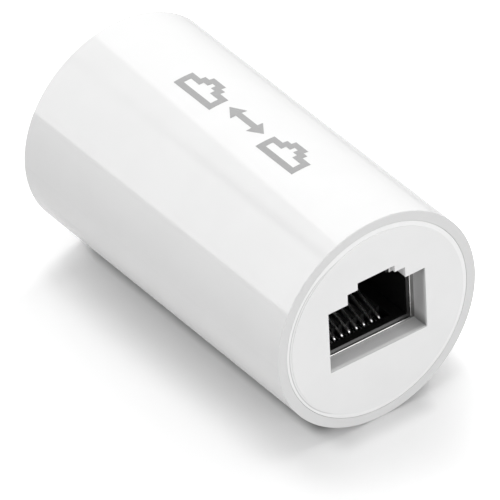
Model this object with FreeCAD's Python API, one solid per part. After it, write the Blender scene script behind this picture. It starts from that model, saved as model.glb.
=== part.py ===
"""Inline coupler for two eight-way modular plugs, in a round snap-together barrel.

The coupler stands on its rear cap: +Z runs along the barrel towards the front end, the origin is the
centre of the rear cap's face, and both plugs go in with their latches on the -Y side. All sizes are
millimetres. Each socket is made once in its own frame, where the face of its cap is z = 0 and the
inside of the barrel is at negative z, and is then placed at both ends. Depths count from that face.
"""
import FreeCAD, Part
import math
import os

Vec = FreeCAD.Vector
X_AXIS = Vec(1, 0, 0)
Y_AXIS = Vec(0, 1, 0)
Z_AXIS = Vec(0, 0, 1)
PARALLEL_LIMIT = 1e-6

# Barrel
COUPLER_LENGTH = 47.4       # over the faces of the two caps
BARREL_RADIUS = 13.4
BARREL_WALL = 1.8           # behind the step that the caps seat on
RIM_WIDTH = 1.2             # flat ring of the barrel seen round each end cap
RIM_BEVEL = 0.05
BOARD_RIB_HEIGHT = 0.6
BOARD_RIB_WIDTH = 1.6
BOARD_RIB_LENGTH = 11.0
BOARD_RIB_COUNT = 4
BOARD_RIB_START = 45.0      # degrees from +X to the first rib
BOARD_RIB_ROOT = 0.6        # how far a rib reaches into the wall
KEY_RIB_PLACE = 90.0        # degrees from +X to the rib that keys the board
KEY_RIB_RISE = 2.0          # how far the key rib runs past the board

# End caps
CAP_GAP = 0.04              # hairline round the cap
CAP_RISE = 0.15             # cap face above the flat ring of the barrel
CAP_PLATE = 1.75
CAP_BEVEL_WIDTH = 0.55
CAP_BEVEL_DROP = 0.16
CAP_FACE_STEP = 0.08        # step down from the face to its bevel
COLLAR_WALL = 0.9           # wall round the socket window behind the plate
COLLAR_ROOT = 0.9           # depth in the plate that the collar starts at
CLIP_COUNT = 4
CLIP_ANGLE = 38.0           # degrees of arc that each clip takes
CLIP_WALL = 0.75
CLIP_LENGTH = 4.6
CLIP_ROOT = 1.3             # depth in the plate that the clips start at
CLIP_BORE_GAP = 0.08
SNAP_HEIGHT = 0.32
SNAP_LENGTH = 0.9
SNAP_FLAT = 0.3             # top of the snap bead before its ramp
SNAP_PLAY = 0.06
KEY_WIDTH = 2.0
KEY_LENGTH = 0.8
KEY_ROOT = 0.2              # how far the key reaches into the plate
KEY_PLAY = 0.05
NOTCH_REACH = 1.0           # how far the notch for the key runs inside the bore

# Plug passage: a plain slot for the plug, with two steps over it for the latch
PLUG_WIDTH = 11.7
PLUG_FLOOR = 3.6            # Y of the floor of the slot
PLUG_SHOULDER = -3.33       # Y of the roof beside the latch
LATCH_WIDTH = 6.4
LATCH_ROOF = -4.7
LATCH_TIP_WIDTH = 3.6
LATCH_TIP_ROOF = -5.6
PLUG_DEPTH = 12.5
WINDOW_MARGIN = 0.7         # cap window beyond the sides and roof of the plug passage
WINDOW_FLOOR_MARGIN = 0.43
CATCH_DEPTH = 1.6           # lip that the latch hooks behind

# Screen, the folded metal cover of a socket
SOCKET_SETBACK = 2.3        # front of the screen behind the face of the cap
SHEET = 0.25
SCREEN_FIT = 0.05
SCREEN_BEND_RADIUS = 0.45
SCREEN_SIDE_MARGIN = 0.2
SCREEN_FLOOR_MARGIN = 0.27
SCREEN_EDGE = 0.05
SCREEN_SHORT = 1.5          # screen ends this far from the board
LEG_WIDTH = 1.4
LEG_OFFSET = 2.2
LEG_TAIL = 0.9

# Socket housing
HOUSING_WALL = 1.5
HOUSING_ROOF = 0.85
HOUSING_SOLE = 0.45
MOUTH_CHAMFER = 0.2
SILL = 1.2                  # solid floor of the passage in front of the contacts
TROUGH = 2.0                # open trough in the floor that the front bends of the contacts stand in
CATCH_OVERLAP = 1.0         # how far the room behind the catch runs below the roof of the slot
POCKET_OVERLAP = 0.5        # how far the carrier's pocket runs into the passage
CUT_OVERRUN = 1.0           # how far a cut runs past the outside of the block
FOOT_SIZE = 2.2
FOOT_HEIGHT = 1.2

# Contact carrier, the comb that holds the eight contacts of a socket
CARRIER_FIT = 0.05
CARRIER_EDGE = 0.45
CARRIER_SOLE = 0.5
COMB_DEPTH = 1.3
COMB_ROOF = -2.1
CARRIER_BOARD_GAP = 2.2
SLOT_WIDTH = 0.6
COMB_LIP = 0.5              # plastic above the slots at the top of the comb
SLOT_OVERLAP = 0.1          # how far the two parts of a slot run into each other

# Contacts
CONTACT_COUNT = 8
CONTACT_PITCH = 1.016
CONTACT_WIDTH = 0.32
CONTACT_THICKNESS = 0.28
CONTACT_RUN = 5.12          # Y of the buried run's centre line
CONTACT_ANGLE = 20.0
CONTACT_BEND = 0.5
CONTACT_BEND_SETBACK = 2.65 # centre of the front bend behind the housing's front
CONTACT_TIP = 0.7           # leaf end inside the comb
ROW_SPACING = 2.0
JOG_RADIUS = 0.4
JOG_SETBACK = 1.6
PIN_TAIL = 0.9

# Board
BOARD_THICKNESS = 1.6
BOARD_PLAY = 0.1
PIN_HOLE_RADIUS = 0.32
LEG_SLOT_PLAY = 0.12

# Sizes and depths that follow
BORE_RADIUS = BARREL_RADIUS - BARREL_WALL
MOUTH_RADIUS = BARREL_RADIUS - RIM_WIDTH
CAP_RADIUS = MOUTH_RADIUS - CAP_GAP
CLIP_RADIUS = BORE_RADIUS - CLIP_BORE_GAP
CLIP_END = CAP_PLATE + CLIP_LENGTH
SNAP_START = CLIP_END - SNAP_LENGTH
BOARD_TOP = (COUPLER_LENGTH - BOARD_THICKNESS) / 2
HOUSING_FRONT = SOCKET_SETBACK + SHEET
HOUSING_DEPTH = BOARD_TOP - HOUSING_FRONT
HOUSING_HALF_WIDTH = PLUG_WIDTH / 2 + HOUSING_WALL
HOUSING_TOP = LATCH_TIP_ROOF - HOUSING_ROOF
CARRIER_BOTTOM = CONTACT_RUN + CONTACT_THICKNESS / 2 + CARRIER_SOLE
HOUSING_BOTTOM = CARRIER_BOTTOM + CARRIER_FIT + HOUSING_SOLE
CARRIER_HALF_WIDTH = (CONTACT_COUNT - 1) * CONTACT_PITCH / 2 + SLOT_WIDTH / 2 + CARRIER_EDGE
CARRIER_FRONT = HOUSING_FRONT + SILL + TROUGH
CARRIER_REAR = BOARD_TOP - CARRIER_BOARD_GAP
COMB_FRONT = HOUSING_FRONT + PLUG_DEPTH
COMB_REAR = COMB_FRONT + COMB_DEPTH
SLOT_FLOOR = CONTACT_RUN + CONTACT_THICKNESS / 2
JOG_DEPTH = CARRIER_REAR - JOG_SETBACK
SCREEN_INNER = HOUSING_HALF_WIDTH + SCREEN_FIT
SCREEN_OUTER = SCREEN_INNER + SHEET
SCREEN_REAR = BOARD_TOP - SCREEN_SHORT


def slab(x_low, x_high, y_low, y_high, depth_low, depth_high):
    """A box between two depths behind the face of the cap."""
    corner = Vec(x_low, y_low, -depth_high)
    return Part.makeBox(x_high - x_low, y_high - y_low, depth_high - depth_low, corner)


def centred_slab(half_width, y_low, y_high, depth_low, depth_high):
    """A box that is symmetric about the plane of the latches."""
    return slab(-half_width, half_width, y_low, y_high, depth_low, depth_high)


def passage_outline(depth, side=0.0, floor=None):
    """Stepped outline of the plug passage at a depth, grown at its sides and roof, and its floor."""
    floor = side if floor is None else floor
    half_widths = [width / 2 + side for width in (PLUG_WIDTH, LATCH_WIDTH, LATCH_TIP_WIDTH)]
    levels = [PLUG_FLOOR + floor, PLUG_SHOULDER - side, LATCH_ROOF - side, LATCH_TIP_ROOF - side]
    right = []
    for half_width, start, end in zip(half_widths, levels, levels[1:]):
        right += [(half_width, start), (half_width, end)]
    left = [(-x, y) for x, y in reversed(right)]
    points = [Vec(x, y, -depth) for x, y in right + left]
    return Part.makePolygon(points + points[:1])


def passage(depth_low, depth_high, side=0.0, floor=None):
    """Solid of the plug passage between two depths."""
    outline = passage_outline(depth_high, side, floor)
    return Part.Face(outline).extrude(Vec(0, 0, depth_high - depth_low))


def tapered_passage(depth_low, depth_high, side, floor, narrowing):
    """Solid of the plug passage that narrows inwards, for a bevelled mouth."""
    wide = passage_outline(depth_low, side, floor)
    narrow = passage_outline(depth_high, side - narrowing, floor - narrowing)
    return Part.makeLoft([narrow, wide], True, True)


def turned(points, angle=360.0, start=0.0):
    """Solid of revolution about the barrel's axis from (radius, z) points."""
    corners = [Vec(radius, 0, z) for radius, z in points]
    face = Part.Face(Part.makePolygon(corners + corners[:1]))
    solid = face.revolve(Vec(0, 0, 0), Z_AXIS, angle)
    solid.rotate(Vec(0, 0, 0), Z_AXIS, start)
    return solid


def rounded_path(points, radii):
    """Wire through (y, z) corners in the plane x = 0, with an arc of its own radius at each corner."""
    corners = [Vec(0, y, z) for y, z in points]
    edges = []
    start = corners[0]
    for before, corner, after, radius in zip(corners, corners[1:], corners[2:], radii):
        inward = (corner - before).normalize()
        outward = (after - corner).normalize()
        half_turn = inward.getAngle(outward) / 2
        trim = radius * math.tan(half_turn)
        arc_start = corner - inward * trim
        arc_end = corner + outward * trim
        to_centre = (outward - inward).normalize()
        arc_middle = corner + to_centre * (radius / math.cos(half_turn) - radius)
        edges.append(Part.makeLine(start, arc_start))
        edges.append(Part.Arc(arc_start, arc_middle, arc_end).toShape())
        start = arc_end
    edges.append(Part.makeLine(start, corners[-1]))
    return Part.Wire(edges)


def strip(path, width, thickness):
    """Flat strip swept along a path in the plane x = 0."""
    start = path.OrderedVertexes[0].Point
    heading = path.OrderedEdges[0].tangentAt(path.OrderedEdges[0].FirstParameter)
    across = heading.cross(X_AXIS).normalize()
    corners = []
    for side, rise in ((1, 1), (-1, 1), (-1, -1), (1, -1)):
        corners.append(start + X_AXIS * (side * width / 2) + across * (rise * thickness / 2))
    sweep = Part.BRepOffsetAPI.MakePipeShell(path)
    sweep.setBiNormalMode(X_AXIS)
    sweep.add(Part.makePolygon(corners + corners[:1]))
    sweep.build()
    sweep.makeSolid()
    return sweep.shape()


def at_front(shape):
    """Place a socket part at the front end of the barrel."""
    placed = shape.copy()
    placed.translate(Vec(0, 0, COUPLER_LENGTH))
    return placed


def at_rear(shape):
    """Place a socket part at the rear end of the barrel, latch side unchanged."""
    placed = shape.copy()
    placed.rotate(Vec(0, 0, 0), Y_AXIS, 180)
    return placed


def contact_x(number):
    """Place across the socket of a contact, counted from 0."""
    return (number - (CONTACT_COUNT - 1) / 2) * CONTACT_PITCH


def contact_row(number):
    """Y of a contact's pin: every second contact jogs to an inner row."""
    return CONTACT_RUN - ROW_SPACING * (number % 2)


def build_barrel():
    """Tube with a seat, a key notch and a snap groove for each cap, and ribs for the board."""
    length = COUPLER_LENGTH - 2 * CAP_RISE
    body = Part.makeCylinder(BARREL_RADIUS, length, Vec(0, 0, CAP_RISE))
    rims = [edge for edge in body.Edges if isinstance(edge.Curve, Part.Circle)]
    body = body.makeChamfer(RIM_BEVEL, rims)
    body = body.cut(Part.makeCylinder(BORE_RADIUS, COUPLER_LENGTH))
    seat = Part.makeCylinder(MOUTH_RADIUS, CAP_PLATE, Vec(0, 0, -CAP_PLATE))
    groove_top = SNAP_START - SNAP_PLAY
    groove_depth = CLIP_RADIUS + SNAP_HEIGHT + SNAP_PLAY
    groove_bottom = CLIP_END + SNAP_PLAY
    groove = turned([
        (BORE_RADIUS - SNAP_PLAY, -groove_top),
        (groove_depth, -groove_top),
        (groove_depth, -groove_top - SNAP_FLAT - 2 * SNAP_PLAY),
        (BORE_RADIUS - SNAP_PLAY, -groove_bottom),
    ])
    notch_half = KEY_WIDTH / 2 + KEY_PLAY
    notch = centred_slab(notch_half, BORE_RADIUS - NOTCH_REACH, CAP_RADIUS,
                         CAP_PLATE, CAP_PLATE + KEY_LENGTH + KEY_PLAY)
    for place in (at_front, at_rear):
        for hollow in (seat, groove, notch):
            body = body.cut(place(hollow))
    rib_foot = BOARD_TOP - BOARD_RIB_LENGTH
    for number in range(BOARD_RIB_COUNT):
        angle = BOARD_RIB_START + number * 360 / BOARD_RIB_COUNT
        body = body.fuse(board_rib(angle, rib_foot, BOARD_TOP))
    key_top = BOARD_TOP + BOARD_THICKNESS + KEY_RIB_RISE
    body = body.fuse(board_rib(KEY_RIB_PLACE, rib_foot, key_top))
    return body.removeSplitter()


def board_rib(angle, z_low, z_high):
    """Rib along the inside of the barrel, rooted in its wall."""
    inner = BORE_RADIUS - BOARD_RIB_HEIGHT
    depth = BOARD_RIB_HEIGHT + BOARD_RIB_ROOT
    rib = Part.makeBox(depth, BOARD_RIB_WIDTH, z_high - z_low, Vec(inner, -BOARD_RIB_WIDTH / 2, z_low))
    rib.rotate(Vec(0, 0, 0), Z_AXIS, angle)
    return rib


def build_cap():
    """End cap: bevelled disc, stepped window with a collar, key, and snap clips."""
    cap = turned([
        (0, 0),
        (CAP_RADIUS - CAP_BEVEL_WIDTH, 0),
        (CAP_RADIUS - CAP_BEVEL_WIDTH, -CAP_FACE_STEP),
        (CAP_RADIUS, -CAP_BEVEL_DROP),
        (CAP_RADIUS, -CAP_PLATE),
        (0, -CAP_PLATE),
    ])
    cap = cap.fuse(passage(COLLAR_ROOT, SOCKET_SETBACK, WINDOW_MARGIN + COLLAR_WALL,
                           WINDOW_FLOOR_MARGIN + COLLAR_WALL))
    key_inner = BORE_RADIUS + KEY_PLAY
    key_outer = CAP_RADIUS - KEY_PLAY
    cap = cap.fuse(centred_slab(KEY_WIDTH / 2, key_inner, key_outer,
                                CAP_PLATE - KEY_ROOT, CAP_PLATE + KEY_LENGTH))
    for number in range(CLIP_COUNT):
        cap = cap.fuse(build_clip(number * 360 / CLIP_COUNT))
    cap = cap.cut(passage(0, SOCKET_SETBACK, WINDOW_MARGIN, WINDOW_FLOOR_MARGIN))
    return cap.removeSplitter()


def build_clip(angle):
    """Springy tongue of a cap, with a snap bead that fits the groove in the barrel."""
    inner = CLIP_RADIUS - CLIP_WALL
    bead = CLIP_RADIUS + SNAP_HEIGHT
    outline = [
        (inner, -CLIP_ROOT),
        (CLIP_RADIUS, -CLIP_ROOT),
        (CLIP_RADIUS, -SNAP_START),
        (bead, -SNAP_START),
        (bead, -SNAP_START - SNAP_FLAT),
        (CLIP_RADIUS, -CLIP_END),
        (inner, -CLIP_END),
    ]
    return turned(outline, CLIP_ANGLE, angle - CLIP_ANGLE / 2)


def build_screen():
    """Folded metal cover round a socket housing, open at the back, with two legs into the board."""
    outer = centred_slab(SCREEN_OUTER, HOUSING_TOP - SCREEN_FIT - SHEET,
                         HOUSING_BOTTOM + SCREEN_FIT + SHEET, SOCKET_SETBACK, SCREEN_REAR)
    folds = [edge for edge in outer.Edges if is_along_z(edge)]
    outer = outer.makeFillet(SCREEN_BEND_RADIUS, folds)
    inner = centred_slab(SCREEN_INNER, HOUSING_TOP - SCREEN_FIT,
                         HOUSING_BOTTOM + SCREEN_FIT, HOUSING_FRONT, SCREEN_REAR)
    folds = [edge for edge in inner.Edges if is_along_z(edge)]
    inner = inner.makeFillet(SCREEN_BEND_RADIUS - SHEET, folds)
    screen = outer.cut(inner)
    screen = screen.cut(passage(SOCKET_SETBACK, HOUSING_FRONT, SCREEN_SIDE_MARGIN, SCREEN_FLOOR_MARGIN))
    bevel = tapered_passage(SOCKET_SETBACK, SOCKET_SETBACK + SCREEN_EDGE,
                            SCREEN_SIDE_MARGIN + SCREEN_EDGE, SCREEN_FLOOR_MARGIN + SCREEN_EDGE, SCREEN_EDGE)
    screen = screen.cut(bevel)
    for side in (1, -1):
        screen = screen.fuse(leg(side, 0.0, SCREEN_REAR - LEG_WIDTH, BOARD_TOP + BOARD_THICKNESS + LEG_TAIL))
    return screen.removeSplitter()


def is_along_z(edge):
    """Whether a straight edge runs along the barrel."""
    return edge.tangentAt(edge.FirstParameter).cross(Z_AXIS).Length < PARALLEL_LIMIT


def leg(side, play, depth_low, depth_high):
    """Leg of a screen, or its slot in the board; the two sides sit at different heights."""
    x_low = SCREEN_INNER - play
    x_high = SCREEN_OUTER + play
    half = LEG_WIDTH / 2 + play
    y_low = side * LEG_OFFSET - half
    y_high = side * LEG_OFFSET + half
    if side < 0:
        x_low, x_high = -x_high, -x_low
    return slab(x_low, x_high, y_low, y_high, depth_low, depth_high)


def build_housing():
    """Moulded socket body: stepped plug passage with a bevelled mouth and a latch catch."""
    rear = HOUSING_FRONT + HOUSING_DEPTH
    body = centred_slab(HOUSING_HALF_WIDTH, HOUSING_TOP, HOUSING_BOTTOM, HOUSING_FRONT, rear)
    corners = [edge for edge in body.Edges if is_along_z(edge)]
    body = body.makeFillet(SCREEN_BEND_RADIUS - SHEET, corners)
    body = body.cut(passage(HOUSING_FRONT, COMB_FRONT))
    body = body.cut(tapered_passage(HOUSING_FRONT, HOUSING_FRONT + MOUTH_CHAMFER,
                                    MOUTH_CHAMFER, MOUTH_CHAMFER, MOUTH_CHAMFER))
    latch_room = centred_slab(LATCH_WIDTH / 2, LATCH_TIP_ROOF, PLUG_SHOULDER + CATCH_OVERLAP,
                              HOUSING_FRONT + CATCH_DEPTH, COMB_FRONT)
    pocket_half = CARRIER_HALF_WIDTH + CARRIER_FIT
    pocket_bottom = CARRIER_BOTTOM + CARRIER_FIT
    floor_pocket = centred_slab(pocket_half, PLUG_FLOOR - POCKET_OVERLAP, pocket_bottom,
                                HOUSING_FRONT + SILL, rear)
    comb_pocket = centred_slab(pocket_half, COMB_ROOF - CARRIER_FIT, pocket_bottom,
                               COMB_FRONT - POCKET_OVERLAP, rear)
    tails = centred_slab(HOUSING_HALF_WIDTH - FOOT_SIZE, HOUSING_TOP - CUT_OVERRUN,
                         HOUSING_BOTTOM + CUT_OVERRUN, rear - FOOT_HEIGHT, rear)
    waist = centred_slab(HOUSING_HALF_WIDTH + CUT_OVERRUN, HOUSING_TOP + FOOT_SIZE,
                         HOUSING_BOTTOM - FOOT_SIZE, rear - FOOT_HEIGHT, rear)
    for hollow in (latch_room, floor_pocket, comb_pocket, tails, waist):
        body = body.cut(hollow)
    return body.removeSplitter()


def build_carrier():
    """Comb under and behind the plug passage, with a slot for each contact."""
    block = centred_slab(CARRIER_HALF_WIDTH, PLUG_FLOOR, CARRIER_BOTTOM, CARRIER_FRONT, CARRIER_REAR)
    block = block.fuse(centred_slab(CARRIER_HALF_WIDTH, COMB_ROOF, CARRIER_BOTTOM, COMB_FRONT, CARRIER_REAR))
    half = SLOT_WIDTH / 2
    for number in range(CONTACT_COUNT):
        x = contact_x(number)
        leaf_slot = slab(x - half, x + half, COMB_ROOF + COMB_LIP, SLOT_FLOOR,
                         CARRIER_FRONT - CUT_OVERRUN, COMB_REAR)
        run_roof = contact_row(number) - CONTACT_THICKNESS / 2
        run_slot = slab(x - half, x + half, run_roof, SLOT_FLOOR, COMB_REAR - SLOT_OVERLAP, CARRIER_REAR)
        block = block.cut(leaf_slot).cut(run_slot)
    return block.removeSplitter()


def build_contact(number):
    """Sprung contact: leaf, front bend, buried run, and a pin through the board."""
    slope = math.radians(CONTACT_ANGLE)
    bend_corner = HOUSING_FRONT + CONTACT_BEND_SETBACK - CONTACT_BEND / math.tan(slope / 2)
    leaf_end = COMB_FRONT + CONTACT_TIP
    leaf_y = CONTACT_RUN - (leaf_end - bend_corner) * math.tan(slope)
    pin_end = BOARD_TOP + BOARD_THICKNESS + PIN_TAIL
    row = contact_row(number)
    points = [(leaf_y, -leaf_end), (CONTACT_RUN, -bend_corner)]
    radii = [CONTACT_BEND]
    if row != CONTACT_RUN:
        points += [(CONTACT_RUN, -JOG_DEPTH), (row, -JOG_DEPTH)]
        radii += [JOG_RADIUS, JOG_RADIUS]
    points.append((row, -pin_end))
    contact = strip(rounded_path(points, radii), CONTACT_WIDTH, CONTACT_THICKNESS)
    contact.translate(Vec(contact_x(number), 0, 0))
    return contact


def build_board():
    """Round board across the middle of the barrel, drilled for both sockets."""
    board = Part.makeCylinder(BORE_RADIUS - BOARD_PLAY, BOARD_THICKNESS, Vec(0, 0, BOARD_TOP))
    notch_half = BOARD_RIB_WIDTH / 2 + BOARD_PLAY
    notch_inner = BORE_RADIUS - BOARD_RIB_HEIGHT - BOARD_PLAY
    board = board.cut(Part.makeBox(2 * notch_half, BOARD_RIB_HEIGHT + CUT_OVERRUN, BOARD_THICKNESS,
                                   Vec(-notch_half, notch_inner, BOARD_TOP)))
    for place in (at_front, at_rear):
        for number in range(CONTACT_COUNT):
            centre = Vec(contact_x(number), contact_row(number), -BOARD_TOP - BOARD_THICKNESS)
            board = board.cut(place(Part.makeCylinder(PIN_HOLE_RADIUS, BOARD_THICKNESS, centre)))
        for side in (1, -1):
            slot = leg(side, LEG_SLOT_PLAY, BOARD_TOP, BOARD_TOP + BOARD_THICKNESS)
            board = board.cut(place(slot))
    return board


def build_all():
    """Every piece of the coupler, by node name."""
    pieces = {"barrel": build_barrel(), "circuit_board": build_board()}
    cap = build_cap()
    screen = build_screen()
    housing = build_housing()
    carrier = build_carrier()
    for end, place in (("front", at_front), ("rear", at_rear)):
        pieces[end + "_cap"] = place(cap)
        pieces[end + "_screen"] = place(screen)
        pieces[end + "_socket_housing"] = place(housing)
        pieces[end + "_contact_carrier"] = place(carrier)
        for number in range(CONTACT_COUNT):
            pieces[end + "_contact_" + str(number + 1)] = place(build_contact(number))
    return pieces


def main():
    """Write one STEP file for each piece."""
    os.makedirs("parts", exist_ok=True)
    for name, shape in build_all().items():
        solid = shape.Solids[0] if len(shape.Solids) == 1 else shape
        solid.exportStep("parts/" + name + ".step")


main()
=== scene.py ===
"""Looks of an inline coupler that joins two eight-way network plugs: finishes, printed mark and studio.

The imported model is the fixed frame, in metres. The coupler's axis is +Z: its rear cap lies in the plane
z = 0 and its front cap looks along +Z. Each socket has its latch way towards -Y and its contacts towards +Y.
The coupler lies on its flank at the +Y side, and the studio's floor is the plane that this flank touches.
"""

import logging
import math
from collections.abc import Callable, Mapping
from dataclasses import dataclass, field
from enum import Enum
from typing import ClassVar

import bpy
from mathutils import Matrix, Vector


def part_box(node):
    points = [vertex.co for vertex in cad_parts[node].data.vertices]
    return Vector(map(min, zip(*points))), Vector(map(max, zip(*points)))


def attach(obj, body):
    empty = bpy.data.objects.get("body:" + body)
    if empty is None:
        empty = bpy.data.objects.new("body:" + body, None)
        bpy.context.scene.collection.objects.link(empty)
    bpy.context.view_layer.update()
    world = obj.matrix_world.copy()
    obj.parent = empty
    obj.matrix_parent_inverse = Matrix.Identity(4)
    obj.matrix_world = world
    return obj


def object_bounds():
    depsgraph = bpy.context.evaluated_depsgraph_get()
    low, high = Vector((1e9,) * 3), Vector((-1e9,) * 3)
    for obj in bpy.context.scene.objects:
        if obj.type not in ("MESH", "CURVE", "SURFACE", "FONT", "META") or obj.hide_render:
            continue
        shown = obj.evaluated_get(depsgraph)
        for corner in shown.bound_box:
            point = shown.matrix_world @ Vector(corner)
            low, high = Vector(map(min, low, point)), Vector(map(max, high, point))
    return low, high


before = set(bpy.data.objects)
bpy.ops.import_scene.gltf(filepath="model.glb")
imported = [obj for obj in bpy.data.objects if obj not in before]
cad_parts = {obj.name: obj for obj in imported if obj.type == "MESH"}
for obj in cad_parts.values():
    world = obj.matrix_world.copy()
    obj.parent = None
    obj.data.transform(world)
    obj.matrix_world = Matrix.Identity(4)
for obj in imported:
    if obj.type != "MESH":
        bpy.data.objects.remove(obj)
CAD_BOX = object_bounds()

LOG = logging.getLogger("coupler")
MM = 0.001
ROOT = "root"
CONTACT_PITCH = 1.016 * MM
WHOLE_TURN = 2 * math.pi

Colour = tuple[float, float, float, float]
Span = tuple[float, float]


def grey(level: float, warmth: float = 0.0) -> Colour:
    """Returns a near-neutral linear colour, which warmth tips from blue towards yellow."""
    return (level * (1 + warmth), level, level * (1 - warmth), 1.0)


def scaled(colour: Colour, share: float) -> Colour:
    """Returns a colour with the given share of its light."""
    return tuple(channel * share for channel in colour[:3]) + (1.0,)


class Slot(Enum):
    """The record's material slots for new pieces, passed along but not applied."""

    BARREL = "barrel_white"


class End(Enum):
    """The two ends of the coupler, by the first word of their nodes' names."""

    FRONT = "front"
    REAR = "rear"


class Signal:
    """A number that flows through a material's nodes and is worked on like a Python number."""

    def __init__(self, graph: "Graph", socket: bpy.types.NodeSocket) -> None:
        """Wraps the output socket that carries the number."""
        self.graph = graph
        self.socket = socket

    def maths(self, operation: str, *others: "Signal | float") -> "Signal":
        """Returns the result of a Math node that starts from this number."""
        return self.graph.maths(operation, self, *others)

    def __add__(self, other: "Signal | float") -> "Signal":
        """Returns this number plus another."""
        return self.maths("ADD", other)

    def __sub__(self, other: "Signal | float") -> "Signal":
        """Returns this number less another."""
        return self.maths("SUBTRACT", other)

    def __mul__(self, other: "Signal | float") -> "Signal":
        """Returns this number times another."""
        return self.maths("MULTIPLY", other)

    def __truediv__(self, other: "Signal | float") -> "Signal":
        """Returns this number divided by another."""
        return self.maths("DIVIDE", other)

    def __radd__(self, other: float) -> "Signal":
        """Returns a plain number plus this one."""
        return self.graph.maths("ADD", other, self)

    def __rsub__(self, other: float) -> "Signal":
        """Returns a plain number less this one."""
        return self.graph.maths("SUBTRACT", other, self)

    def __rmul__(self, other: float) -> "Signal":
        """Returns a plain number times this one."""
        return self.graph.maths("MULTIPLY", other, self)

    def __abs__(self) -> "Signal":
        """Returns this number without its sign."""
        return self.maths("ABSOLUTE")

    def rise(self, low: "Signal | float", high: "Signal | float") -> "Signal":
        """Returns a smooth step, which is 0 up to the low number and 1 from the high one."""
        step = self.graph.node(
            "ShaderNodeMapRange",
            {"interpolation_type": "SMOOTHSTEP"},
            {"Value": self, "From Min": low, "From Max": high},
        )
        return Signal(self.graph, step.outputs["Result"])


Feed = Signal | bpy.types.NodeSocket | float | tuple


class Graph:
    """A node tree being wired for a material or for the world."""

    def __init__(self, tree: bpy.types.NodeTree) -> None:
        """Empties the tree to start from."""
        self.tree = tree
        tree.nodes.clear()

    def feed(self, socket: bpy.types.NodeSocket, value: Feed) -> None:
        """Gives an input socket a link or a plain value.

        Args:
            socket: the input socket.
            value: a signal or output socket to link, or a plain value.
        """
        if isinstance(value, Signal):
            value = value.socket
        if isinstance(value, bpy.types.NodeSocket):
            self.tree.links.new(value, socket)
        else:
            socket.default_value = value

    def node(
        self,
        kind: str,
        settings: Mapping[str, object] | None = None,
        inputs: Mapping[str | int, Feed] | None = None,
    ) -> bpy.types.Node:
        """Adds a node.

        Args:
            kind: the node's type.
            settings: its own settings, which are set first.
            inputs: what its input sockets get, by name or number.

        Returns:
            The new node.
        """
        made = self.tree.nodes.new(kind)
        for name, value in (settings or {}).items():
            setattr(made, name, value)
        for key, value in (inputs or {}).items():
            self.feed(made.inputs[key], value)
        return made

    def maths(self, operation: str, *operands: Signal | float) -> Signal:
        """Returns the result of a Math node with the given operands, in order."""
        made = self.node("ShaderNodeMath", {"operation": operation}, dict(enumerate(operands)))
        return Signal(self, made.outputs[0])

    def place(self) -> tuple[Signal, Signal, Signal]:
        """Reads the place on the object.

        Returns:
            The coordinates X, Y and Z, in metres.
        """
        where = self.node("ShaderNodeTexCoord").outputs["Object"]
        parts = self.node("ShaderNodeSeparateXYZ", None, {0: where}).outputs
        return Signal(self, parts[0]), Signal(self, parts[1]), Signal(self, parts[2])

    def noise(self, grain: tuple[float, float, float], detail: float = 2.0) -> Signal:
        """Adds smooth noise on the object coordinates.

        Args:
            grain: the size of the pattern along X, Y and Z, in metres.
            detail: how many finer layers the noise has.

        Returns:
            The noise, which varies around 0.5.
        """
        where = self.node("ShaderNodeTexCoord").outputs["Object"]
        scale = tuple(1 / size for size in grain)
        mapped = self.node("ShaderNodeMapping", None, {"Vector": where, "Scale": scale})
        inputs = {"Vector": mapped.outputs[0], "Scale": 1.0, "Detail": detail}
        return Signal(self, self.node("ShaderNodeTexNoise", None, inputs).outputs[0])

    def blend(self, share: Feed, first: Feed, second: Feed) -> bpy.types.NodeSocket:
        """Returns the mix of two colours, of which the second one shows by its share."""
        mixed = self.node("ShaderNodeMix", {"data_type": "RGBA"}, {0: share, 6: first, 7: second})
        return mixed.outputs[2]

    def bump(self, height: Signal, depth: float) -> bpy.types.NodeSocket:
        """Returns the normal of a relief that stands as high as its depth where the height is 1."""
        made = self.node("ShaderNodeBump", None, {"Distance": depth, "Height": height})
        return made.outputs["Normal"]

    def finish(self, shader: bpy.types.NodeSocket, kind: str = "ShaderNodeOutputMaterial") -> None:
        """Ends the tree with an output node that shows the shader."""
        self.node(kind, None, {"Surface": shader})


@dataclass(frozen=True)
class Finish:
    """A finish of one material, as a maker would call it.

    Attributes:
        name: the material's name.
        colour: its linear colour.
        roughness: how matt it is, from 0 to 1.
        CONSTANTS: what else the shader's sockets get all over the surface.
    """

    name: str
    colour: Colour
    roughness: float
    CONSTANTS: ClassVar[dict[str, float]] = {}

    def wire(self, graph: Graph) -> dict[str, Feed]:
        """Wires what changes over the surface, and returns it by the shader's socket."""
        return {}

    def material(self) -> bpy.types.Material:
        """Builds the material.

        Returns:
            The new material.
        """
        made = bpy.data.materials.new(self.name)
        made.use_nodes = True
        made.diffuse_color = self.colour
        graph = Graph(made.node_tree)
        plain = {"Base Color": self.colour, "Roughness": self.roughness}
        shader = graph.node("ShaderNodeBsdfPrincipled", None, plain | self.CONSTANTS | self.wire(graph))
        graph.finish(shader.outputs["BSDF"])
        return made


@dataclass(frozen=True)
class EndedFinish(Finish):
    """A finish that changes near the two ends of what it covers.

    Attributes:
        foot: where the lower end is along Z.
        top: where the upper end is along Z.
    """

    foot: float = 0.0
    top: float = 0.0

    def depth(self, along: Signal) -> Signal:
        """Returns how far inside the nearer end a place along Z is."""
        return (self.top - self.foot) / 2 - abs(along - (self.top + self.foot) / 2)


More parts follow.
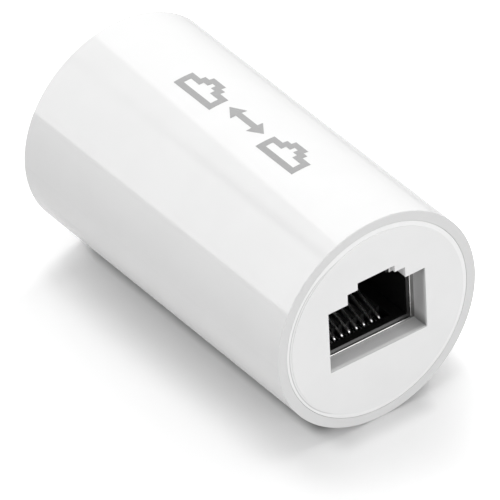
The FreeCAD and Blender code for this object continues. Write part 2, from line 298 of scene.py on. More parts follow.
@dataclass(frozen=True)
class GlossShell(EndedFinish):
    """Polished white plastic of the barrel, with satin lands at its two ends.

    Attributes:
        land: the linear colour of the end lands.
        land_roughness: how matt the end lands are.
        land_width: how far a land reaches from its end along Z.
        cloudy: the share of light that the cloudy patches keep.
        peel: the width of the shallow waves of the moulded surface.
        peel_depth: the height of those waves.
    """

    land: Colour = grey(0.64)
    land_roughness: float = 0.42
    land_width: float = 0.1 * MM
    cloudy: float = 0.985
    peel: float = 3.2 * MM
    peel_depth: float = 1.2e-6
    CONSTANTS = {"IOR": 1.5}

    def wire(self, graph: Graph) -> dict[str, Feed]:
        """Wires the lands, the moulded waves and the faint cloudiness.

        Args:
            graph: the node tree.

        Returns:
            What the shader's sockets get, by name.
        """
        _, _, along = graph.place()
        on_land = 1 - self.depth(along).rise(self.land_width / 2, self.land_width)
        cloud = graph.noise((6 * MM,) * 3).rise(0.35, 0.65)
        body = graph.blend(cloud, self.colour, scaled(self.colour, self.cloudy))
        waves = graph.noise((self.peel,) * 3, detail=1.0)
        fine = graph.noise((0.25 * MM,) * 3)
        return {
            "Base Color": graph.blend(on_land, body, self.land),
            "Roughness": self.roughness + fine * 0.03 + on_land * (self.land_roughness - self.roughness),
            "Normal": graph.bump(waves, self.peel_depth),
        }


@dataclass(frozen=True)
class SatinPlastic(EndedFinish):
    """White moulded plastic with a fine satin skin, as on the end caps, with a painted highlight at the rim
    and painted shade in the window.

    Attributes:
        band: the radius that the lighter edge band, a painted highlight, starts at.
        band_highlight_colour: the linear colour of that band, lighter than the cap as a painted highlight.
        narrowed: how much narrower the painted highlight band is at its +X side.
        shade_line_colour: the linear colour of the thin painted shade line that borders it there.
        side: the darker colour of the window's side walls, a painted shade.
        side_place: how far from the middle those walls stand.
        corner: the share of the walls' colour kept in the corners at their foot, a painted shade.
        corner_span: between which distances from the middle those corners darken.
        sill: the share of colour that the window's sill keeps in its -X corner, a painted shade.
        sill_place: where the sill is along Y.
        sill_span: between which distances towards -X it darkens.
        hollow: the radius that the window lies within.
        softened: how far from its rim the window's edge is softened.
        softened_depth: how far the softened edge falls away.
        streak: the share of light that the flow streaks keep.
        grain: the size of the skin's grain.
        grain_depth: the height of that grain.
    """

    band: float = 11.6 * MM
    band_highlight_colour: Colour = grey(0.82)
    narrowed: float = 0.3 * MM
    shade_line_colour: Colour = grey(0.55)
    side: Colour = grey(0.6)
    side_place: float = 6.5 * MM
    corner: float = 0.5
    corner_span: Span = (2.4 * MM, 4.0 * MM)
    sill: float = 0.6
    sill_place: float = 4.0 * MM
    sill_span: Span = (3.4 * MM, 6.4 * MM)
    hollow: float = 9 * MM
    softened: float = 0.7 * MM
    softened_depth: float = 0.14 * MM
    streak: float = 0.98
    grain: float = 0.12 * MM
    grain_depth: float = 0.8e-6

    def wire(self, graph: Graph) -> dict[str, Feed]:
        """Wires the grain, the flow streaks, the painted highlight band with its painted shade line, the
        window's walls and sill with painted shade, and the softened edge.

        Args:
            graph: the node tree.

        Returns:
            What the shader's sockets get, by name.
        """
        across, up, along = graph.place()
        radius = (across * across + up * up).maths("SQRT")
        depth = self.depth(along)
        fade = 0.1 * MM
        # Painted highlight: a lighter band at the rim, narrower on its +X side.
        plus_x_share = (across / radius).rise(0.35, 0.8)
        past = radius - plus_x_share * self.narrowed
        shown = 1 - depth.rise(0.3 * MM, 0.4 * MM)
        on_band = past.rise(self.band - fade / 2, self.band + fade / 2) * shown
        # Painted shade: a thin darker line inside the highlight band on its +X side.
        off_shade_line = abs(past - (self.band - 0.06 * MM)).rise(0.03 * MM, 0.09 * MM)
        on_shade_line = (1 - off_shade_line) * plus_x_share * shown
        # Painted shade: darker side walls in the window, darker still in the corners at their foot.
        beside = abs(across).rise(self.side_place - fade, self.side_place)
        within = depth.rise(0.1 * MM, 0.3 * MM) * (1 - radius.rise(self.hollow, self.hollow + fade))
        walls = beside * within
        # Painted shade on the -X corner of the window's sill.
        nook = (across * -1).rise(*self.sill_span)
        sill = up.rise(self.sill_place - fade, self.sill_place) * within * nook
        fallen = (1 - depth.rise(0.0, self.softened)).maths("POWER", 2.0)
        flow = graph.noise((5 * MM, 5 * MM, 2 * MM)).rise(0.3, 0.7)
        skin = graph.noise((self.grain,) * 3, detail=3.0)
        relief = skin * (self.grain_depth / self.softened_depth) - fallen
        low = abs(up).rise(*self.corner_span)
        wall = graph.blend(low, self.side, scaled(self.side, self.corner))
        flowing = graph.blend(flow, self.colour, scaled(self.colour, self.streak))
        face = graph.blend(walls, graph.blend(sill, flowing, scaled(self.colour, self.sill)), wall)
        return {
            "Base Color": graph.blend(on_shade_line, graph.blend(on_band, face, self.band_highlight_colour), self.shade_line_colour),
            "Roughness": self.roughness - 0.04 + flow * 0.08,
            "Normal": graph.bump(relief, self.softened_depth),
        }


@dataclass(frozen=True)
class BlackMoulding(Finish):
    """Black filled plastic with a spark-eroded mould skin.

    Attributes:
        flow_line: the share of light that the paler flow lines have.
        grain: the size of the skin's grain.
        grain_depth: the height of that grain.
    """

    flow_line: float = 1.5
    grain: float = 0.09 * MM
    grain_depth: float = 2.0e-6

    def wire(self, graph: Graph) -> dict[str, Feed]:
        """Wires the grain and the paler flow lines.

        Args:
            graph: the node tree.

        Returns:
            What the shader's sockets get, by name.
        """
        flow = graph.noise((0.8 * MM, 0.8 * MM, 4 * MM)).rise(0.45, 0.75)
        skin = graph.noise((self.grain,) * 3, detail=3.0)
        return {
            "Base Color": graph.blend(flow, self.colour, scaled(self.colour, self.flow_line)),
            "Roughness": self.roughness + (skin - 0.5) * 0.2,
            "Normal": graph.bump(skin, self.grain_depth),
        }


@dataclass(frozen=True)
class PlatedSheet(EndedFinish):
    """Tin-plated sheet metal with the fine lines of rolling along the coupler's axis, cut edges painted
    bright as a highlight and painted shade at the opening's foot.

    Attributes:
        cut: the linear colour of the cut edges, painted bright as a highlight.
        foot_shade: the same at the foot of the opening, darker there as painted shade.
        foot_shade_place: where that foot is along Y.
        sheet: the thickness of the sheet.
        stained: the share of light that the stains keep.
        line: the width of a rolling line.
        line_depth: the height of a rolling line.
    """

    cut: Colour = grey(0.9, 0.01)
    foot_shade: Colour = grey(0.3, 0.01)
    foot_shade_place: float = 3.7 * MM
    sheet: float = 0.25 * MM
    stained: float = 0.85
    line: float = 0.05 * MM
    line_depth: float = 0.9e-6
    CONSTANTS = {"Metallic": 1.0}

    def wire(self, graph: Graph) -> dict[str, Feed]:
        """Wires the rolling lines, the stains, the painted highlight on the cut edges and the painted shade
        at the opening's foot.

        Args:
            graph: the node tree.

        Returns:
            What the shader's sockets get, by name.
        """
        lines = graph.noise((self.line, self.line, 4 * MM), detail=3.0)
        stain = graph.noise((1.5 * MM,) * 3).rise(0.4, 0.75)
        body = graph.blend(stain, self.colour, scaled(self.colour, self.stained))
        _, up, along = graph.place()
        depth = self.depth(along)
        # Painted highlight: the cut edges are brighter than the sheet.
        on_cut = depth.rise(0.005 * MM, 0.015 * MM) * (1 - depth.rise(self.sheet, self.sheet + 0.02 * MM))
        # Painted shade: the cut edges darken at the foot of the opening.
        edge = graph.blend(up.rise(self.foot_shade_place, self.foot_shade_place + 0.1 * MM), self.cut, self.foot_shade)
        return {
            "Base Color": graph.blend(on_cut, body, edge),
            "Roughness": self.roughness + stain * 0.1 + (lines - 0.5) * 0.12,
            "Normal": graph.bump(lines, self.line_depth),
        }


@dataclass(frozen=True)
class PlatedSpring(Finish):
    """Spring strip, bright on its flats, rough at its sheared edges and tinned at its legs by the board.

    Attributes:
        tin: the linear colour of the tinned legs.
        middle: where the board's middle is along Z.
        tinned: how far from the board's middle the tin reaches.
        half_width: half the width of a strip.
        sheared: how matt the sheared edges are.
        bare: the linear colour of the sheared edges.
        crown: how far the middle of a strip stands over its edges.
    """

    tin: Colour = grey(0.6, 0.01)
    middle: float = 0.0
    tinned: float = 5.0 * MM
    half_width: float = 0.16 * MM
    sheared: float = 0.8
    bare: Colour = grey(0.12, 0.02)
    crown: float = 0.075 * MM
    CONSTANTS = {"Metallic": 1.0}

    def wire(self, graph: Graph) -> dict[str, Feed]:
        """Wires the change from tin to bright plating, the sheared edges and the drawn surface.

        Args:
            graph: the node tree.

        Returns:
            What the shader's sockets get, by name.
        """
        across, _, along = graph.place()
        bright = abs(along - self.middle).rise(self.tinned, self.tinned + 0.3 * MM)
        off = abs((across / CONTACT_PITCH).maths("FRACT") - 0.5) * CONTACT_PITCH
        edge = off.rise(self.half_width - 0.03 * MM, self.half_width - 0.01 * MM)
        drawn = graph.noise((0.03 * MM, 0.03 * MM, 0.8 * MM))
        flat = self.roughness + (1 - bright) * 0.15 + (drawn - 0.5) * 0.08
        domed = 1 - (off / self.half_width).maths("POWER", 2.0)
        return {
            "Base Color": graph.blend(edge, graph.blend(bright, self.tin, self.colour), self.bare),
            "Roughness": flat * (1 - edge) + edge * self.sheared,
            "Normal": graph.bump(domed + drawn * (0.3e-6 / self.crown), self.crown),
        }


@dataclass(frozen=True)
class BoardLacquer(Finish):
    """Green lacquer over copper tracks and woven glass.

    Attributes:
        weave: the pitch of the glass cloth under the lacquer.
        weave_depth: the height of that cloth.
        copper: the linear colour of the lacquer over copper.
    """

    weave: float = 0.45 * MM
    weave_depth: float = 2.0e-6
    copper: Colour = (0.02, 0.16, 0.06, 1.0)
    CONSTANTS = {"Coat Weight": 0.6, "Coat Roughness": 0.12}

    def wire(self, graph: Graph) -> dict[str, Feed]:
        """Wires the weave and the straight copper tracks under the lacquer.

        Args:
            graph: the node tree.

        Returns:
            What the shader's sockets get, by name.
        """
        across, up, _ = graph.place()
        warp = (across * (WHOLE_TURN / self.weave)).maths("SINE")
        weft = (up * (WHOLE_TURN / self.weave)).maths("SINE")
        cloth = (warp * weft) * 0.5 + 0.5
        track = abs((across / CONTACT_PITCH).maths("FRACT") - 0.5).rise(0.12, 0.18)
        return {
            "Base Color": graph.blend(track, self.copper, self.colour),
            "Normal": graph.bump(cloth, self.weave_depth),
        }


@dataclass(frozen=True)
class PrintInk(Finish):
    """Pad-printed grey ink, slightly uneven where it covers less.

    Attributes:
        thinned: the share of light that the thin places have.
    """

    thinned: float = 1.08

    def wire(self, graph: Graph) -> dict[str, Feed]:
        """Wires the thin places of the print.

        Args:
            graph: the node tree.

        Returns:
            What the shader's sockets get, by name.
        """
        thin = graph.noise((0.3 * MM,) * 3, detail=3.0).rise(0.5, 0.8)
        ink = graph.blend(thin, self.colour, scaled(self.colour, self.thinned))
        return {"Base Color": ink, "Roughness": self.roughness + thin * 0.1}


class Bench:
    """The modelling bench: what every new piece needs from the operators."""

    @staticmethod
    def clear() -> None:
        """Leaves edit mode and deselects everything."""
        if bpy.context.object and bpy.context.object.mode != "OBJECT":
            bpy.ops.object.mode_set(mode="OBJECT")
        bpy.ops.object.select_all(action="DESELECT")

    @staticmethod
    def settle(piece: bpy.types.Object) -> None:
        """Moves a piece's place into its mesh.

        Args:
            piece: the object to settle.
        """
        Bench.clear()
        piece.select_set(True)
        bpy.context.view_layer.objects.active = piece
        bpy.ops.object.transform_apply(location=True, rotation=True, scale=True)

    @staticmethod
    def modify(piece: bpy.types.Object, kind: str, settings: Mapping[str, object]) -> None:
        """Adds a modifier and applies it.

        Args:
            piece: the object to change.
            kind: the modifier's type.
            settings: the modifier's settings.
        """
        Bench.clear()
        bpy.context.view_layer.objects.active = piece
        piece.select_set(True)
        made = piece.modifiers.new(kind.title(), kind)
        for name, value in settings.items():
            setattr(made, name, value)
        bpy.ops.object.modifier_apply(modifier=made.name)

    @staticmethod
    def pick_edges(piece: bpy.types.Object, wanted: Callable[[Vector, Vector], bool]) -> None:
        """Selects edges by their ends, in edit mode.

        Args:
            piece: the object in edit mode.
            wanted: says from an edge's two ends whether it is selected.
        """
        bpy.ops.mesh.select_mode(type="EDGE")
        bpy.ops.mesh.select_all(action="DESELECT")
        bpy.ops.object.mode_set(mode="OBJECT")
        points = piece.data.vertices
        for edge in piece.data.edges:
            first, second = (points[index].co for index in edge.vertices)
            edge.select = wanted(first, second)
        bpy.ops.object.mode_set(mode="EDIT")

    @staticmethod
    def deliver(piece: bpy.types.Object, name: str, slot: Slot, material: bpy.types.Material) -> None:
        """Names, dresses and mounts a finished piece.

        Args:
            piece: the finished object.
            name: the piece's name.
            slot: the record's material slot; it is not used.
            material: the finish that it shows.
        """
        piece.name = name
        piece.data.name = name
        piece.data.materials.clear()
        piece.data.materials.append(material)
        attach(piece, ROOT)
        LOG.info("built %s: %d faces", name, len(piece.data.polygons))

    @staticmethod
    def dress(node: str, material: bpy.types.Material) -> None:
        """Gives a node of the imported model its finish.

        Args:
            node: the node's name.
            material: the finish that it shows.
        """
        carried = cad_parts[node]
        carried.data.materials.clear()
        carried.data.materials.append(material)
        LOG.info("dressed %s in %s", node, material.name)


@dataclass
class Barrel:
    """The white barrel.

    Attributes:
        node: its node's name.
        colour: its linear colour.
        roughness: how matt its flank is.
    """

    node: str = "barrel"
    colour: Colour = grey(0.76)
    roughness: float = 0.06

    def dress(self) -> None:
        """Gives the barrel its polished finish, with satin end lands."""
        low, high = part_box(self.node)
        shell = GlossShell("barrel_gloss_white", self.colour, self.roughness, low.z, high.z)
        Bench.dress(self.node, shell.material())


@dataclass
class Caps:
    """The two white end caps.

    Attributes:
        colour: their linear colour.
        roughness: how matt they are.
    """

    colour: Colour = grey(0.768)
    roughness: float = 0.32

    def dress(self) -> None:
        """Gives both caps their satin finish."""
        foot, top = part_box("rear_cap")[0].z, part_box("front_cap")[1].z
        satin = SatinPlastic("cap_satin_white", self.colour, self.roughness, foot, top).material()
        for end in End:
            Bench.dress(f"{end.value}_cap", satin)


@dataclass
class Sockets:
    """The two sockets, with their screens, carriers and spring contacts.

    Attributes:
        contacts: how many contacts a socket has.
        housing: the linear colour of the black housings.
        carrier: the linear colour of the contact carriers.
        screen: the linear colour of the plated screens.
        plating: the linear colour of the plated contacts.
    """

    contacts: int = 8
    housing: Colour = grey(0.004)
    carrier: Colour = grey(0.012)
    screen: Colour = grey(0.4, 0.01)
    plating: Colour = grey(0.86, 0.01)

    def dress(self) -> None:
        """Gives every part of both sockets its finish."""
        low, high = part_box("circuit_board")
        housing = BlackMoulding("socket_moulded_black", self.housing, 0.38).material()
        carrier = BlackMoulding("carrier_moulded_black", self.carrier, 0.45, grain=0.07 * MM).material()
        foot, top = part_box("rear_screen")[0].z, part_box("front_screen")[1].z
        screen = PlatedSheet("screen_tinned_sheet", self.screen, 0.2, foot, top).material()
        middle = (low.z + high.z) / 2
        spring = PlatedSpring("contact_plated_spring", self.plating, 0.3, middle=middle).material()
        for end in End:
            Bench.dress(f"{end.value}_socket_housing", housing)
            Bench.dress(f"{end.value}_contact_carrier", carrier)
            Bench.dress(f"{end.value}_screen", screen)
            for number in range(1, self.contacts + 1):
                Bench.dress(f"{end.value}_contact_{number}", spring)


@dataclass
class Board:
    """The circuit board between the sockets.

    Attributes:
        colour: the linear colour of its lacquer.
        roughness: how matt the lacquer is.
    """

    colour: Colour = (0.012, 0.11, 0.04, 1.0)
    roughness: float = 0.35

    def dress(self) -> None:
        """Gives the board its lacquer."""
        lacquer = BoardLacquer("board_green_lacquer", self.colour, self.roughness)
        Bench.dress("circuit_board", lacquer.material())


@dataclass
class SideMark:
    """The grey pad print on the barrel: two socket outlines joined by a double arrow.

    Attributes:
        start: where the print starts along the barrel.
        angle: where its middle is around the barrel, from +X towards +Y, in degrees.
        body_width: the width of a socket outline.
        body_height: the height of its lower, wide part.
        step_width: the width of its latch way.
        step_height: the rise of each of its two steps.
        tip_width: the width of its top step.
        stroke: the width of the printed line.
        arrow_length: the length of the double arrow.
        head_length: the length of an arrow head.
        head_width: the width of an arrow head.
        head_tip: the share of that width that its tip has.
        gap: the bare space between the outlines and the arrow.
        ink_height: how far the ink stands out from the barrel.
        ink_colour: the linear colour of the ink.
        ink_roughness: how matt the ink is.
        clearance: how far off the barrel the print is before it is laid on.
        cuts: how many times each edge is cut, so that the print can bend.
        hair: a length too small to matter.
    """

    start: float = 13.1 * MM
    angle: float = -91.2
    body_width: float = 6.6 * MM
    body_height: float = 2.6 * MM
    step_width: float = 3.6 * MM
    step_height: float = 0.65 * MM
    tip_width: float = 2.2 * MM
    stroke: float = 0.8 * MM
    arrow_length: float = 6.3 * MM
    head_length: float = 1.7 * MM
    head_width: float = 2.3 * MM
    head_tip: float = 0.02
    gap: float = 1.1 * MM
    ink_height: float = 0.02 * MM
    ink_colour: Colour = grey(0.29)
    ink_roughness: float = 0.45
    clearance: float = 1 * MM
    cuts: int = 4
    hair: float = 0.001 * MM

    def outline(self) -> bpy.types.Object:
        """Models one socket outline, flat, with its foot's middle at the origin.

        Returns:
            The outline.
        """
        Bench.clear()
        widths = (self.body_width, self.step_width, self.tip_width)
        places = [-width / self.body_width / 2 for width in widths]
        places += [-place for place in reversed(places)]
        strips = len(places) - 1
        bpy.ops.mesh.primitive_grid_add(
            x_subdivisions=strips, y_subdivisions=1, size=1, location=(0, 0.5, 0)
        )
        piece = bpy.context.object
        Bench.settle(piece)
        for point in piece.data.vertices:
            point.co.x = places[round((point.co.x + 0.5) * strips)] * self.body_width
            point.co.y *= self.body_height
        for width, level in (
            (self.step_width, self.body_height),
            (self.tip_width, self.body_height + self.step_height),
        ):
            bpy.ops.object.mode_set(mode="EDIT")
            Bench.pick_edges(
                piece,
                lambda a, b, half=width / 2 + self.hair, top=level - self.hair: min(a.y, b.y) > top
                and max(abs(a.x), abs(b.x)) < half,
            )
            bpy.ops.mesh.extrude_region_move(TRANSFORM_OT_translate={"value": (0, self.step_height, 0)})
            bpy.ops.object.mode_set(mode="OBJECT")
        bpy.ops.object.mode_set(mode="EDIT")
        bpy.ops.mesh.select_mode(type="FACE")
        bpy.ops.mesh.select_all(action="SELECT")
        bpy.ops.mesh.inset(thickness=self.stroke, depth=0, use_boundary=True)
        bpy.ops.mesh.delete(type="FACE")
        bpy.ops.object.mode_set(mode="OBJECT")
        return piece

    def arrow(self) -> bpy.types.Object:
        """Models the double arrow, flat, with its middle at the origin.

        Returns:
            The arrow.
        """
        Bench.clear()
        bpy.ops.mesh.primitive_grid_add(x_subdivisions=2, y_subdivisions=2, size=1)
        piece = bpy.context.object
        shaft = self.arrow_length - 2 * self.head_length
        piece.scale = (shaft, self.stroke, 1)
        Bench.settle(piece)
        edge = shaft / 2 - self.hair
        for side in (-1, 1):
            bpy.ops.object.mode_set(mode="EDIT")
            Bench.pick_edges(piece, lambda a, b, side=side: min(a.x * side, b.x * side) > edge)
            bpy.ops.mesh.extrude_region_move()
            bpy.ops.transform.resize(value=(1, self.head_width / self.stroke, 1))
            outwards = (side * self.head_length, 0, 0)
            bpy.ops.mesh.extrude_region_move(TRANSFORM_OT_translate={"value": outwards})
            bpy.ops.transform.resize(value=(1, self.head_tip, 1))
            bpy.ops.object.mode_set(mode="OBJECT")
        return piece

    def build(self) -> None:
        """Models the print, lays it on the barrel and gives it its ink."""
        total = 2 * self.body_width + 2 * self.gap + self.arrow_length
        low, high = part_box("barrel")
        radius = (high.x - low.x) / 2
        height = self.body_height + 2 * self.step_height
        outlines = [self.outline(), self.outline()]
        for piece, side in zip(outlines, (-1, 1)):
            piece.location = (side * (total - self.body_width) / 2, -height / 2, 0)
        strokes = outlines + [self.arrow()]
        Bench.clear()
        for piece in strokes:
            piece.select_set(True)
        bpy.context.view_layer.objects.active = strokes[0]
        bpy.ops.object.join()
        mark = bpy.context.object
        Bench.settle(mark)
        bpy.ops.object.mode_set(mode="EDIT")
        bpy.ops.mesh.select_all(action="SELECT")
        bpy.ops.mesh.remove_doubles(threshold=1e-7)
        bpy.ops.mesh.subdivide(number_cuts=self.cuts)
        bpy.ops.object.mode_set(mode="OBJECT")
        outward = Vector((math.cos(math.radians(self.angle)), math.sin(math.radians(self.angle)), 0))
        along = Vector((0, 0, 1))
        upward = outward.cross(along)
        turned = Matrix((along, upward, outward)).transposed().to_4x4()
        middle = outward * (radius + self.clearance) + along * (self.start + total / 2)
        mark.matrix_world = Matrix.Translation(middle) @ turned
        Bench.modify(
            mark,
            "SHRINKWRAP",
            {
                "target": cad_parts["barrel"],
                "wrap_method": "PROJECT",
                "use_project_z": True,
                "use_negative_direction": True,
                "use_positive_direction": False,
                "offset": self.ink_height,
            },
        )
        Bench.modify(mark, "SOLIDIFY", {"thickness": self.ink_height * 0.8, "offset": -1})
        Bench.settle(mark)
        ink = PrintInk("mark_grey_ink", self.ink_colour, self.ink_roughness)
        Bench.deliver(mark, "side_mark", Slot.BARREL, ink.material())


@dataclass
class Softbox:
    """A large soft lamp.

    Attributes:
        name: the lamp's name.
        towards: the direction from the coupler to the lamp.
        distance: how far off it is.
        size: the side of its square face.
        level: how white it makes a white surface that faces it, from 0 to 1.
    """

    name: str
    towards: tuple[float, float, float]
    distance: float
    size: float
    level: float

    def build(self, middle: Vector) -> None:
        """Hangs the lamp so that it looks at the coupler.

        Args:
            middle: the coupler's middle.
        """
        lamp = bpy.data.lights.new(self.name, "AREA")
        lamp.shape = "SQUARE"
        lamp.size = self.size
        lamp.energy = self.level * (math.pi * self.distance) ** 2
        holder = bpy.data.objects.new(self.name, lamp)
        bpy.context.scene.collection.objects.link(holder)
        away = Vector(self.towards).normalized()
        holder.location = middle + away * self.distance
        holder.rotation_euler = away.to_track_quat("Z", "Y").to_euler()
        holder.visible_glossy = False
        LOG.info("hung %s", self.name)


@dataclass
class LightTent:
    """A tube of reflecting cloth round the coupler, which only its gloss shows.

    Above the rear cap's height only the far cloth hangs. Angles are in degrees from straight up towards +X.

    Attributes:
        radius: the tube's radius.
        length: the tube's length.
        bright: the level of the cloth over the far side.
        plain: the level of the cloth over the near side.
        climb: the share that this level gains towards the near cloth's end.
        horizon: where the near cloth ends.
        end_blur: how far that end is blurred to either side.
        seam: where the two cloths meet at the seam's own height.
        seam_height: that height along Z.
        seam_slope: how fast the seam turns along Z, in degrees a metre.
        seam_blur: how far the seam is blurred to either side.
        fold: the share of light that a fold in the near cloth keeps at its deepest.
        fold_place: where the fold is.
        fold_reach: how far the fold reaches to either side.
        fold_start: the share of the fold's depth below the seam's own height.
        fold_span: between which heights over that one the fold gets its whole depth.
        far_edge: where the bright cloth ends on the far side.
        edge_blur: how far that edge is blurred, and the one over the near cloth.
        dim_start: where the bright cloth starts to dim towards that edge.
        dim: the share of light that it has lost there.
        waist: the share of light that the cloth gives at the rear cap's height.
        waist_span: between which distances from that height the light comes back.
        top_span: between which heights the near cloth ends.
    """

    radius: float = 0.35
    length: float = 1.6
    bright: float = 4.6
    plain: float = 2.9
    climb: float = 0.12
    horizon: float = 84.5
    end_blur: float = 0.5
    seam: float = -3.0
    seam_height: float = -0.277
    seam_slope: float = 222.0
    seam_blur: float = 0.8
    fold: float = 0.6
    fold_place: float = 21.5
    fold_reach: float = 8.0
    fold_start: float = 0.4
    fold_span: Span = (-0.003, 0.01)
    far_edge: float = -130.0
    edge_blur: float = 2.0
    dim_start: float = -10.0
    dim: float = 0.8
    waist: float = 0.3
    waist_span: Span = (0.02, 0.23)
    top_span: Span = (0.0, 0.03)

    def hung(self, turn: Signal, along: Signal) -> Signal:
        """Says where cloth hangs.

        Args:
            turn: the angle round the coupler.
            along: the place along Z.

        Returns:
            1 where it hangs and 0 elsewhere.
        """
        before_horizon = 1 - turn.rise(self.horizon - self.end_blur, self.horizon + self.end_blur)
        past_far_edge = turn.rise(self.far_edge - self.edge_blur, self.far_edge)
        over_near_side = turn.rise(self.dim_start - self.edge_blur, self.dim_start)
        return before_horizon * past_far_edge * (1 - along.rise(*self.top_span) * over_near_side)

    def level(self, turn: Signal, along: Signal) -> Signal:
        """Works out how bright the cloth is.

        Args:
            turn: the angle round the coupler.
            along: the place along Z.

        Returns:
            The strength of its glow.
        """
        over = along - self.seam_height
        seam = over * self.seam_slope + self.seam
        far = 1 - turn.rise(seam - self.seam_blur, seam + self.seam_blur)
        deep = over.rise(*self.fold_span) * (1 - self.fold_start) + self.fold_start
        in_fold = deep * (1 - abs(turn - self.fold_place).rise(0.0, self.fold_reach))
        dimmed = 1 - (1 - turn.rise(self.far_edge, self.dim_start)) * self.dim
        climbed = turn.rise(self.fold_place, self.horizon) * self.climb + 1
        near = self.plain * climbed * (1 - in_fold * (1 - self.fold))
        cloth = near * (1 - far) + far * dimmed * self.bright
        return cloth * (abs(along).rise(*self.waist_span) * (1 - self.waist) + self.waist)

    def build(self, middle: Vector) -> None:
        """Hangs the tent.

        Args:
            middle: the coupler's middle.
        """
        Bench.clear()
        bpy.ops.mesh.primitive_cylinder_add(
            vertices=128,
            radius=self.radius,
            depth=self.length,
            end_fill_type="NOTHING",
            location=(0, 0, middle.z),
        )
        tent = bpy.context.object
        tent.name = "stage_light_tent"
        Bench.settle(tent)
        made = bpy.data.materials.new("stage_tent_cloth")
        made.use_nodes = True
        graph = Graph(made.node_tree)
        across, up, along = graph.place()
        turn = graph.maths("ARCTAN2", across, 0 - up) * (180 / math.pi)
        bounces = Signal(graph, graph.node("ShaderNodeLightPath").outputs["Diffuse Depth"])
        stray = bounces.maths("GREATER_THAN", 0.5)
        glow = graph.node("ShaderNodeEmission", None, {"Strength": self.level(turn, along) * (1 - stray)})
        clear = graph.node("ShaderNodeBsdfTransparent")
        shaders = {0: self.hung(turn, along), 1: clear.outputs[0], 2: glow.outputs[0]}
        graph.finish(graph.node("ShaderNodeMixShader", None, shaders).outputs[0])
        tent.data.materials.append(made)
        tent.visible_camera = False
        tent.visible_diffuse = False
        tent.visible_transmission = False
        tent.visible_shadow = False
        LOG.info("hung the light tent")


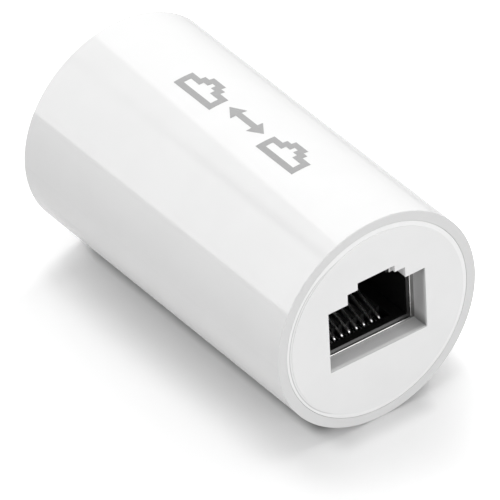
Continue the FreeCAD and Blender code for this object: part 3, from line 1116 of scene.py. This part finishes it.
@dataclass
class Floor:
    """The pale floor that the coupler's flank touches. It is bare air seen from below.

    Attributes:
        size: the side of the floor.
        plain: how light the shade is where the floor is seen near the coupler.
        gloss: the same where gloss shows it.
        bounce: the share of light that the floor throws back at the coupler.
        far: how much lighter the shade is far from the coupler.
        far_span: between which distances it gets so.
        short: how much less far it is to the bare floor past the coupler's ends.
        lee: how many times faster the painted light makes the floor bare on the -X side.
        tail: how much the shade is lifted by painted light past the coupler's rear end.
        tail_span: between which distances from the middle along Z it gets so.
        toe: how much painted shadow darkens the shade at the foot of the front cap.
        toe_middle: where the middle of that foot is along X.
        toe_side: between which distances from there it ends.
        toe_start: between which distances from the middle along Z it starts.
        toe_end: between which distances from the middle along Z it ends.
        touch: how much painted shadow darkens the shade in the wedge under the coupler's flank.
        touch_side: between which distances along X that wedge ends.
        touch_end: between which distances from the middle along Z it ends.
        reach: how far from the coupler gloss shows the floor.
    """

    size: float = 3.0
    plain: float = 1.0
    gloss: float = 1.0
    bounce: float = 0.65
    far: float = 0.5
    far_span: Span = (15 * MM, 60 * MM)
    short: float = 12 * MM
    lee: float = 3.0
    tail: float = 0.25
    tail_span: Span = (18.5 * MM, 23 * MM)
    toe: float = 0.23
    toe_middle: float = 0.5 * MM
    toe_side: Span = (4.5 * MM, 8 * MM)
    toe_start: Span = (22 * MM, 23.7 * MM)
    toe_end: Span = (24.3 * MM, 27.5 * MM)
    touch: float = 0.85
    touch_side: Span = (5.8 * MM, 8.2 * MM)
    touch_end: Span = (20 * MM, 23.7 * MM)
    reach: float = 100 * MM

    def shade(self, across: Signal, beyond: Signal) -> Signal:
        """Works out how light the shade is where the floor is seen, with painted shadow under the flank and
        at the front cap's foot and painted light that lifts it away from the coupler.

        Args:
            across: the place across the coupler.
            beyond: the place along it, from its middle.

        Returns:
            The shade.
        """
        sideways = across.maths("MAXIMUM", across * -self.lee)
        lengthways = (abs(beyond) - self.short).maths("MAXIMUM", 0.0)
        bare = (sideways * sideways + lengthways * lengthways).maths("SQRT")
        # Painted shadow in the wedge under the flank and at the front cap's foot; painted light past the
        # rear end.
        touching = (1 - abs(across).rise(*self.touch_side)) * (1 - abs(beyond).rise(*self.touch_end))
        behind = (beyond * -1).rise(*self.tail_span)
        at_toe = (1 - abs(across - self.toe_middle).rise(*self.toe_side)) * beyond.rise(*self.toe_start)
        at_toe = at_toe * (1 - beyond.rise(*self.toe_end))
        lifted = self.plain + bare.rise(*self.far_span) * self.far + behind * self.tail
        return lifted - touching * self.touch - at_toe * self.toe

    def cloth(self, middle: Vector) -> bpy.types.Material:
        """Builds the floor's material.

        Args:
            middle: the coupler's middle.

        Returns:
            The new material.
        """
        made = bpy.data.materials.new("stage_floor_white")
        made.use_nodes = True
        graph = Graph(made.node_tree)
        path = graph.node("ShaderNodeLightPath").outputs
        across, _, along = graph.place()
        beyond = along - middle.z
        off = (across * across + beyond * beyond).maths("SQRT")
        camera_ray, glossy_ray = (Signal(graph, path[f"Is {kind} Ray"]) for kind in ("Camera", "Glossy"))
        seen = camera_ray * (self.shade(across, beyond) - self.bounce)
        level = self.bounce + glossy_ray * (self.gloss - self.bounce) + seen
        colour = graph.node("ShaderNodeCombineColor", None, {0: level, 1: level, 2: level})
        cloth = graph.node("ShaderNodeBsdfDiffuse", None, {"Color": colour.outputs[0]})
        below = Signal(graph, graph.node("ShaderNodeNewGeometry").outputs["Backfacing"])
        through = Signal(graph, path["Transparent Depth"]).maths("GREATER_THAN", 0.5)
        open_air = glossy_ray * off.rise(self.reach * 0.9, self.reach)
        passed = below.maths("MAXIMUM", through).maths("MAXIMUM", open_air)
        clear = graph.node("ShaderNodeBsdfTransparent")
        shaders = {0: passed, 1: cloth.outputs[0], 2: clear.outputs[0]}
        graph.finish(graph.node("ShaderNodeMixShader", None, shaders).outputs[0])
        return made

    def build(self, level: float, middle: Vector) -> None:
        """Lays the floor.

        Args:
            level: the floor's Y.
            middle: the coupler's middle.
        """
        Bench.clear()
        turned = (math.pi / 2, 0, 0)
        bpy.ops.mesh.primitive_plane_add(size=self.size, location=(0, level, middle.z), rotation=turned)
        plane = bpy.context.object
        plane.name = "stage_floor"
        Bench.settle(plane)
        plane.data.materials.append(self.cloth(middle))
        LOG.info("laid the floor")


@dataclass
class Studio:
    """The floor, the room and the lamps.

    Attributes:
        room: the level of the white room's own light.
        floor: the floor.
        lamps: the soft lamps, of which the one under the floor lights what is seen through it.
        tent: the reflecting tent.
    """

    room: float = 0.63
    floor: Floor = field(default_factory=Floor)
    lamps: list[Softbox] = field(
        default_factory=lambda: [
            Softbox("lamp_front", (0.08, -0.18, 0.98), 1.1, 0.8, 0.55),
            Softbox("lamp_key", (-0.1, -1.0, 0.12), 1.0, 0.3, 0.1),
            Softbox("lamp_overhead", (0.04, -0.95, -0.32), 1.0, 0.35, 0.18),
            Softbox("lamp_side", (1.0, -0.1, -0.05), 1.1, 0.6, 0.16),
            Softbox("lamp_back", (-0.35, -0.05, -0.94), 1.1, 0.8, 0.27),
            Softbox("lamp_under", (-0.3, 0.9, 0.2), 1.0, 0.8, 0.2),
        ]
    )
    tent: LightTent = field(default_factory=LightTent)

    def air(self) -> None:
        """Fills the room with plain light, and shows it white."""
        world = bpy.data.worlds.new("white_room")
        world.use_nodes = True
        bpy.context.scene.world = world
        graph = Graph(world.node_tree)
        path = graph.node("ShaderNodeLightPath").outputs
        seen = Signal(graph, path["Is Camera Ray"]) + Signal(graph, path["Is Glossy Ray"])
        seen = seen + Signal(graph, path["Is Transmission Ray"])
        level = self.room + seen * (1 - self.room)
        light = graph.node("ShaderNodeBackground", None, {"Color": (1, 1, 1, 1), "Strength": level})
        graph.finish(light.outputs[0], "ShaderNodeOutputWorld")

    def build(self) -> None:
        """Sets up the studio."""
        low, high = (Vector(corner) for corner in CAD_BOX)
        middle = (low + high) / 2
        self.floor.build(high.y, middle)
        self.air()
        self.tent.build(middle)
        for lamp in self.lamps:
            lamp.build(middle)
        bpy.context.scene.view_settings.view_transform = "Standard"


@dataclass
class Viewpoint:
    """Where the camera stands.

    Attributes:
        azimuth: the camera's turn round +Z, in degrees, from -Y towards +X.
        elevation: its height over the horizontal, in degrees.
        roll: how far the camera is rolled, in degrees.
        distance: its distance from the point it looks at.
        aim: the point it looks at.
        lens: its focal length, in millimetres.
    """

    azimuth: float = 36.525
    elevation: float = 40.716
    roll: float = 128.417
    distance: float = 1224.96 * MM
    aim: tuple[float, float, float] = (1.182 * MM, 2.841 * MM, 25.435 * MM)
    lens: float = 803.3

    def build(self) -> None:
        """Places the camera and makes it the scene's own."""
        turn, rise, roll = (math.radians(angle) for angle in (self.azimuth, self.elevation, self.roll))
        back = Vector((math.cos(rise) * math.sin(turn), -math.cos(rise) * math.cos(turn), math.sin(rise)))
        level = Vector((math.cos(turn), math.sin(turn), 0))
        right = level * math.cos(roll) + back.cross(level) * math.sin(roll)
        turned = Matrix((right, back.cross(right), back)).transposed().to_4x4()
        camera = bpy.data.cameras.new("camera")
        camera.lens = self.lens
        camera.clip_start = 0.01
        camera.clip_end = 10.0
        holder = bpy.data.objects.new("camera", camera)
        bpy.context.scene.collection.objects.link(holder)
        holder.matrix_world = Matrix.Translation(Vector(self.aim) + back * self.distance) @ turned
        bpy.context.scene.camera = holder
        LOG.info("placed the camera")


def main() -> None:
    """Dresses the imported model, adds what the finishes need and sets up the studio."""
    logging.basicConfig(level=logging.INFO, format="%(name)s: %(message)s")
    Viewpoint().build()
    Barrel().dress()
    Caps().dress()
    Sockets().dress()
    Board().dress()
    SideMark().build()
    Studio().build()


if __name__ == "__main__":
    main()
